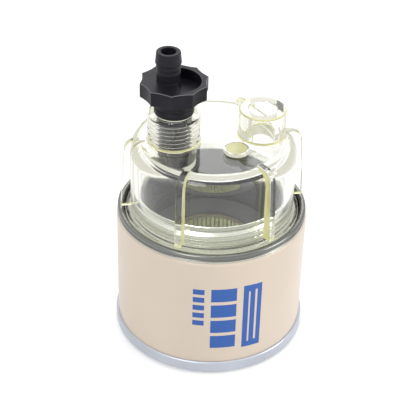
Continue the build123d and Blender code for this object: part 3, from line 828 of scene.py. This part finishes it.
class SEPARATOR_OT_bowl(bpy.types.Operator):
    """Mould the clear bowl with its ribs, bosses and threads"""
    bl_idname = "separator.bowl"
    bl_label = "Clear bowl"

    def execute(self, context):
        sizes = context.scene.separator_sizes
        neck_pitch, neck_depth = sizes.neck_pitch / MM, sizes.neck_depth / MM
        drain_pitch, drain_depth = sizes.drain_pitch / MM, sizes.drain_depth / MM
        outer = turned_solid(
            "bowl_core",
            [(0, FLANGE_FOOT)] + sealing_ribs(31.2, 35.6, 5, 0.28)
            + [(35.9, FLANGE_FOOT), (36.25, 57.95), (36.4, 58.3), (36.4, 59.6), (36.22, 60.03),
               (35.8, 60.2), (34.9, 60.2), (34.41, 60.41), (34.2, 60.9), (34.2, 73.0)]
            + arc((27.7, 86.2), 6.5, 0, 90, 14) + [(14.0, BOWL_TOP), (0, BOWL_TOP)],
            facets=sizes.facets)
        hollow = turned_solid(
            "bowl_hollow", [(0, 56.8), (31.0, 56.8), (31.0, FLANGE_FOOT), (NECK_THREAD, 58.3)],
            [(NECK_THREAD, 73.0)] + arc((29.2, 88.2), 1.3, 0, 90, 6) + [(0, 89.5)],
            (NECK_THREAD - neck_depth, NECK_THREAD, neck_pitch, 58.4, 66.4, NECK_THREAD), sizes.facets)
        rib = rounded_rib(
            "bowl_rib",
            [(32.3, 62.2), (38.2, 62.2), (37.9, 69.0), (37.5, 78.0)] + arc((32.15, 89.0), 4.6, 0, 90, 8)
            + [(28.2, 93.6), (28.2, 91.0), (30.8, 88.6), (32.3, 85.0), (32.3, 73.0)], 1.4, 0.35)
        drain_boss = boss("drain_boss", *DRAIN_BOSS, DRAIN_X)
        sensor_boss = boss("sensor_boss", *SENSOR_BOSS, SENSOR_X)
        pad = turned_solid(
            "pad", [(0, BOSS_ROOT), (5.3, BOSS_ROOT), (5.3, 92.5), (5.1, 93.0), (5.1, 93.6),
                    (4.95, 93.95), (4.6, 94.1), (4.2, 94.1), (4.0, 93.95), (0, 93.95)],
            facets=72, axis=PAD_PLACE)
        inner_boss = turned_solid(
            "inner_boss", [(0, 79.5), (8.8, 79.5), (9.2, 79.9), (9.2, 88.6), (9.6, 89.2), (9.9, 90.0),
                           (9.9, 90.6), (0, 90.6)], facets=96, axis=(DRAIN_X, 0))
        drain_bore = turned_solid(
            "drain_bore", [(0, 79.0), (3.2, 79.0), (3.2, 81.1), (6.6, 81.1), (6.6, 88.4)],
            [(7.55, 103.9), (7.55, 104.9), (8.0, 105.6), (8.0, 106.4), (0, 106.4)],
            (DRAIN_THREAD - drain_depth, DRAIN_THREAD, drain_pitch, 88.6, 103.7,
             DRAIN_THREAD - drain_depth), 96, (DRAIN_X, 0))
        sensor_bore = turned_solid(
            "sensor_bore",
            [(0, 88.0), (5.75, 88.0), (5.75, 103.9), (6.2, 104.45), (6.2, 105.4), (0, 105.4)],
            facets=96, axis=(SENSOR_X, 0))
        bowl = run_tree(outer, moulding_tree("bowl_moulding"), {
            "Repeated": rib, "Count": sizes.rib_count, "Axis": (0.0, 0.0, 0.0),
            "Added First": join("bosses", [drain_boss, sensor_boss, pad]), "Cut First": hollow,
            "Added Last": inner_boss, "Cut Last": join("bores", [drain_bore, sensor_bore]),
            "Material": finish_of("clear_plastic")})
        smooth_faces(bowl, BOWL_SHARP_ANGLE)
        paint_edge_glow(bowl)
        dress(bowl, "clear_bowl", "water_bowl", "bowl")
        return {"FINISHED"}


def boss(name, radius, top, x):
    """Round boss on the bowl, with a stepped foot and a rounded rim."""
    foot = radius + BOSS_EASE
    return turned_solid(
        name,
        [(0, BOSS_ROOT), (foot, BOSS_ROOT), (foot, 92.45), (radius + 0.15, 92.9), (radius, 93.5),
         (radius, top - BOSS_EASE), (radius - 0.18, top - 0.18), (radius - BOSS_EASE, top), (0, top)],
        facets=120, axis=(x, 0))


def sealing_ribs(start, end, count, depth):
    """Profile points of round grooves under the flange, which leave ribs that press on the gasket."""
    points = []
    step = (end - start) / count
    for i in range(count):
        inner = start + i * step
        points += [(inner, FLANGE_FOOT), (inner + 0.15 * step, FLANGE_FOOT + depth),
                   (inner + 0.55 * step, FLANGE_FOOT + depth), (inner + 0.7 * step, FLANGE_FOOT)]
    return points


def paint_edge_glow(bowl):
    """Give the painted yellow glow to the bowl's narrow faces, chosen by their place and direction.

    These are the ribs' feet, the sides with which the ribs at the front and at the back face each
    other, the rounded edges of the ribs at the left and right, the port's rim, the bosses' feet and
    the pad.
    """
    mesh = bowl.data
    mesh.materials.clear()
    for slot in ("clear_plastic", "clear_edge"):
        mesh.materials.append(finish_of(slot))
    for face in mesh.polygons:
        x, y, z = face.center / MM
        reach = hypot(x, y)
        drain, port = hypot(x - DRAIN_X, y), hypot(x - SENSOR_X, y)
        side = abs(face.normal.x) > 0.84 and abs(y) > 20.0 and face.normal.y * y > 0.0
        edge = abs(y) < 1.5 and 0.3 < abs(face.normal.y) < 0.95
        rib = reach > 33.2 and z > 62.0 and (side or edge or face.normal.z < -0.8)
        rim = -BOSS_EASE < port - SENSOR_BOSS[0] < 0.0 and z > SENSOR_BOSS[1] - BOSS_EASE
        feet = [0.0 < drain - DRAIN_BOSS[0] < BOSS_EASE, 0.0 < port - SENSOR_BOSS[0] < BOSS_EASE]
        foot = BOWL_TOP < z < 93.5 and any(feet)
        pad = hypot(x - PAD_PLACE[0], y - PAD_PLACE[1]) < 4.3 and z > 93.9
        # Slot 1 is the painted yellow glow of light gathered in the plastic
        face.material_index = 1 if rib or rim or foot or pad else 0


class SEPARATOR_OT_valve(bpy.types.Operator):
    """Mould the black drain valve with its knob, barb and threaded stem"""
    bl_idname = "separator.valve"
    bl_label = "Drain valve"

    def execute(self, context):
        sizes = context.scene.separator_sizes
        depth, pitch = sizes.drain_depth / MM, sizes.drain_pitch / MM
        crest = DRAIN_THREAD - sizes.thread_gap / MM
        stem = turned_solid(
            "stem",
            [(0, 81.6), (5.7, 81.6), (5.95, 81.85), (5.95, 85.7), (6.55, 85.85), (6.55, 86.2),
             (5.05, 86.2), (5.05, 87.8), (6.55, 87.8), (6.55, 88.3), (crest - depth, 88.5)],
            [(crest - depth, 105.4), (7.5, 105.5), (7.9, 105.75), (8.1, 106.3), (8.1, 107.2),
             (7.9, 107.8), (7.55, 108.1), (7.55, 113.5), (0, 113.5)],
            (crest - depth, crest, pitch, 88.6, 105.3, crest - depth), 96, (DRAIN_X, 0))
        half_turn = degrees(atan2((POCKET_RADIUS ** 2 - POCKET_EDGE ** 2) ** 0.5, POCKET_EDGE))
        bow = arc((0.0, 0.0), POCKET_RADIUS, -half_turn, half_turn, 40)
        levels = [(0.5, POCKET_FLOOR), (0.15, 114.7), (0.0, 115.0), (0.0, 119.25), (-0.3, 119.62),
                  (-0.3, 120.5)]
        pocket = shift(prism("pocket", bow, levels), DRAIN_X, 0)
        barb = turned_solid(
            "barb",
            [(0, 108.0), (4.85, 108.0), (4.85, 119.4), (4.7, 119.8), (4.65, 120.1), (4.65, 122.75),
             (4.84, 122.95), (4.9, 123.15), (4.87, 123.35), (4.68, 124.9), (4.93, 125.15),
             (5.0, 125.35), (4.97, 125.6), (4.72, 127.05), (5.12, 127.3), (5.25, 127.55),
             (5.22, 127.85), (4.9, 131.6), (4.78, 132.02), (4.5, BARB_TOP), (3.35, BARB_TOP),
             (3.05, 132.0), (0, 132.0)],
            facets=72, axis=(BARB_X, 0))
        barb_bore = plain_bore("barb_bore", 3.0, 105.4, 133.5, 48, (BARB_X, 0))
        stem_bore = plain_bore("stem_bore", 2.6, 83.4, 105.6, 48, (DRAIN_X, 0))
        vent = plain_bore("vent", 1.1, 105.6, 120.0, 32, (DRAIN_X + 4.4, -4.2))
        face_groove = turned_solid(
            "face_groove", [(3.725, 80.6), (5.275, 80.6), (5.275, 82.6), (3.725, 82.6)],
            facets=72, axis=(DRAIN_X, 0), ring=True)
        valve = run_tree(stem, moulding_tree("valve_moulding"), {
            "Repeated": knob_sector("knob_sector"), "Count": KNOB_LOBES,
            "Axis": (DRAIN_X * MM, 0.0, 0.0), "Cut First": pocket, "Added Last": barb,
            "Cut Last": join("valve_bores", [barb_bore, stem_bore, vent, face_groove]),
            "Material": finish_of("black_plastic")})
        smooth_faces(valve)
        dress(valve, "drain_valve_moulding", "valve", "drain_valve")
        return {"FINISHED"}


def plain_bore(name, radius, low, high, facets, axis):
    """Cylinder that cuts a bore between two heights."""
    return turned_solid(name, [(0, low), (radius, low), (radius, high), (0, high)],
                        facets=facets, axis=axis)


def knob_sector(name):
    """Skin of one sector of the knob, from cusp to cusp, open where the next sector joins it."""
    step, steps = 2 * pi / KNOB_LOBES, 10
    start = radians(KNOB_TURN)
    cusps = [Vector((KNOB_CUSP * cos(turn), KNOB_CUSP * sin(turn))) for turn in (start, start + step)]
    middle = Vector((KNOB_HOLLOW * cos(start + step / 2), KNOB_HOLLOW * sin(start + step / 2)))
    bow = middle - (cusps[0] + cusps[1]) / 2
    points, faces = [(0, 0, KNOB_FOOT)], []
    levels = [(0.28, KNOB_FOOT), (0.08, 113.4), (0.0, 113.6), (0.0, 119.3), (0.08, 119.52),
              (0.28, KNOB_TOP)]
    for inset, height in levels:
        for i in range(steps + 1):
            share = i / steps
            spot = cusps[0].lerp(cusps[1], share) + bow * (4 * share * (1 - share))
            spot *= (spot.length - inset) / spot.length
            points.append((spot.x, spot.y, height))
    points.append((0, 0, KNOB_TOP))
    top = len(points) - 1
    for i in range(steps):
        faces.append((0, 2 + i, 1 + i))
        for level in range(len(levels) - 1):
            a = 1 + level * (steps + 1) + i
            faces.append((a, a + 1, a + steps + 2, a + steps + 1))
        a = 1 + (len(levels) - 1) * (steps + 1) + i
        faces.append((a, a + 1, top))
    return mesh_object(name, points, faces, closed=False)


# Lamps: place, size and power
LAMPS = {
    "key_light": ((-0.55, -0.75, 0.85), 0.55, 4.3),
    "side_light": ((0.95, -0.35, 0.45), 0.5, 3.9),
    "top_light": ((0.05, 0.05, 1.15), 1.2, 3.4),
    "back_light": ((0.155, 0.90, 0.72), 0.6, 1.3),
}
LAMP_TARGET = (0.0, 0.0, 0.06)

# Strength of the white surroundings as light, and the floor's colour and the glow that is seen of it
WORLD_LIGHT = 0.55
FLOOR_COLOUR = (0.82, 0.82, 0.82)
FLOOR_GLOW = 0.32

CAMERA_PLACE = (-0.07263, -0.41192, 0.34510)
CAMERA_AHEAD = (0.14011, 0.81163, -0.56712)
CAMERA_UP = (0.06749, 0.56361, 0.82328)
CAMERA_LENS, CAMERA_SENSOR = 103.85, 36.0


class SEPARATOR_OT_stage(bpy.types.Operator):
    """Set the floor, the lights, the white background and the camera"""
    bl_idname = "separator.stage"
    bl_label = "Stage"

    def execute(self, context):
        scene = context.scene
        scene.view_settings.view_transform = "Standard"
        self.make_world(scene)
        self.make_floor()
        for name, (place, size, power) in LAMPS.items():
            self.make_light(name, place, size, power)
        self.make_camera(scene)
        return {"FINISHED"}

    def seen(self, nodes):
        """Factor that is 1 for rays whose hit is seen, straight or in gloss or glass."""
        light = nodes.add("ShaderNodeLightPath")
        both = nodes.math("MAXIMUM", light.outputs["Is Camera Ray"], light.outputs["Is Glossy Ray"])
        return nodes.math("MAXIMUM", both, light.outputs["Is Transmission Ray"])

    def make_world(self, scene):
        """White to be seen, and plain soft light to everything else."""
        world = bpy.data.worlds.new("studio")
        world.use_nodes = True
        scene.world = world
        nodes = Nodes(world.node_tree)
        background = world.node_tree.nodes["Background"]
        background.inputs["Color"].default_value = (1.0, 1.0, 1.0, 1.0)
        strength = nodes.ramp(self.seen(nodes), 0.0, 1.0, WORLD_LIGHT, 1.0)
        world.node_tree.links.new(strength, background.inputs["Strength"])

    def make_floor(self):
        """Pale floor that keeps the object's soft shadow."""
        size = 3.0
        mesh = bpy.data.meshes.new("floor")
        mesh.from_pydata([(-size, -size, 0), (size, -size, 0), (size, size, 0), (-size, size, 0)], [],
                         [(0, 1, 2, 3)])
        floor = new_object("floor", mesh)
        finish = Finish("floor_white", FLOOR_COLOUR, 0.9)
        finish.set("Specular IOR Level", 0.1)
        finish.set("Emission Color", (1.0, 1.0, 1.0, 1.0))
        glow = finish.nodes.math("MULTIPLY", self.seen(finish.nodes), FLOOR_GLOW)
        finish.set("Emission Strength", glow)
        mesh.materials.append(finish.material)

    def make_light(self, name, place, size, power):
        """Large soft area lamp that points at the object."""
        lamp = bpy.data.lights.new(name, "AREA")
        lamp.shape = "DISK"
        lamp.size = size
        lamp.energy = power
        thing = new_object(name, lamp)
        thing.location = place
        aim = Vector(LAMP_TARGET) - Vector(place)
        thing.rotation_euler = aim.to_track_quat("-Z", "Y").to_euler()

    def make_camera(self, scene):
        """Camera fitted to the picture: long lens, looking down from the front."""
        data = bpy.data.cameras.new("camera")
        data.sensor_width = CAMERA_SENSOR
        data.lens = CAMERA_LENS
        data.clip_start, data.clip_end = 0.01, 20.0
        camera = new_object("camera", data)
        ahead = Vector(CAMERA_AHEAD).normalized()
        right = ahead.cross(Vector(CAMERA_UP)).normalized()
        up = right.cross(ahead)
        turn = Matrix((right, up, -ahead)).transposed()
        camera.matrix_world = Matrix.Translation(CAMERA_PLACE) @ turn.to_4x4()
        scene.camera = camera


class SEPARATOR_PT_panel(bpy.types.Panel):
    """Sidebar panel with the sizes, the colours and the steps"""
    bl_idname = "SEPARATOR_PT_panel"
    bl_label = "Fuel water separator"
    bl_space_type = "VIEW_3D"
    bl_region_type = "UI"
    bl_category = "Separator"

    def draw(self, context):
        layout = self.layout
        for group in (context.scene.separator_sizes, context.scene.separator_colours):
            box = layout.box()
            for name in group.__annotations__:
                box.prop(group, name)
        for step in STEPS:
            layout.operator(step.bl_idname)


STEPS = (SEPARATOR_OT_finishes, SEPARATOR_OT_collar, SEPARATOR_OT_bowl, SEPARATOR_OT_valve,
         SEPARATOR_OT_stage)
CLASSES = (SeparatorSizes, SeparatorColours, *STEPS, SEPARATOR_PT_panel)


def register():
    """Register the classes and hang the settings on the scene."""
    for item in CLASSES:
        bpy.utils.register_class(item)
    bpy.types.Scene.separator_sizes = bpy.props.PointerProperty(type=SeparatorSizes)
    bpy.types.Scene.separator_colours = bpy.props.PointerProperty(type=SeparatorColours)


def unregister():
    """Take the settings and the classes away again."""
    del bpy.types.Scene.separator_colours
    del bpy.types.Scene.separator_sizes
    for item in reversed(CLASSES):
        bpy.utils.unregister_class(item)


def main():
    """Run every step in order."""
    register()
    bpy.ops.separator.finishes()
    bpy.ops.separator.collar()
    bpy.ops.separator.bowl()
    bpy.ops.separator.valve()
    bpy.ops.separator.stage()


if __name__ == "__main__":
    main()
